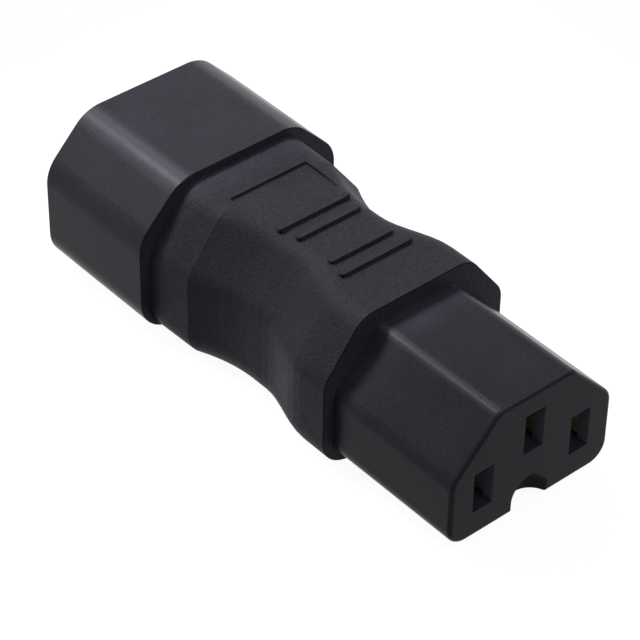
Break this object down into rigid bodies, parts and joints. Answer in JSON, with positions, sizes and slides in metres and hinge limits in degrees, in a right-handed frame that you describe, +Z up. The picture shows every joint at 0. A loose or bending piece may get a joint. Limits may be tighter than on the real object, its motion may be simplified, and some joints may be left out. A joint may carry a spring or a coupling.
{
  "type": "mains connector adapter",
  "caption": "Straight moulded mains adapter: a pin inlet in a deep shroud at one end, a notched slotted connector nose at the other, joined by a pinched grip.",
  "frame": {"origin": "middle of the underside of the part's bounding box", "axes": "+X from the inlet rim towards the nose face, +Y to the live side, +Z up towards the earth contact and the cut corners"},
  "size_m": [0.0662, 0.0286, 0.0201],
  "materials": {
    "overmould": "fine matte texture",
    "shroud": "satin",
    "nose": "satin",
    "inner_plastic": "moulded",
    "plated_pin": "nickel plated",
    "spring_brass": "stamped",
    "copper": "stranded copper, drawn plain",
    "line_sleeve": "extruded",
    "neutral_sleeve": "extruded",
    "earth_sleeve": "extruded"
  },
  "bodies": {
    "root": {"grip_overmould": "overmould", "inlet_shroud": "shroud", "pin_carrier": "shroud", "pin_retainer": "inner_plastic", "nose_housing": "nose", "contact_retainer": "inner_plastic", "core_half_lower": "inner_plastic", "core_half_upper": "inner_plastic", "line_pin": "plated_pin", "neutral_pin": "plated_pin", "earth_pin": "plated_pin", "line_contact": "spring_brass", "neutral_contact": "spring_brass", "earth_contact": "spring_brass", "line_conductor": "copper", "neutral_conductor": "copper", "earth_conductor": "copper", "line_insulation": "line_sleeve", "neutral_insulation": "neutral_sleeve", "earth_insulation": "earth_sleeve"}
  },
  "joints": []
}
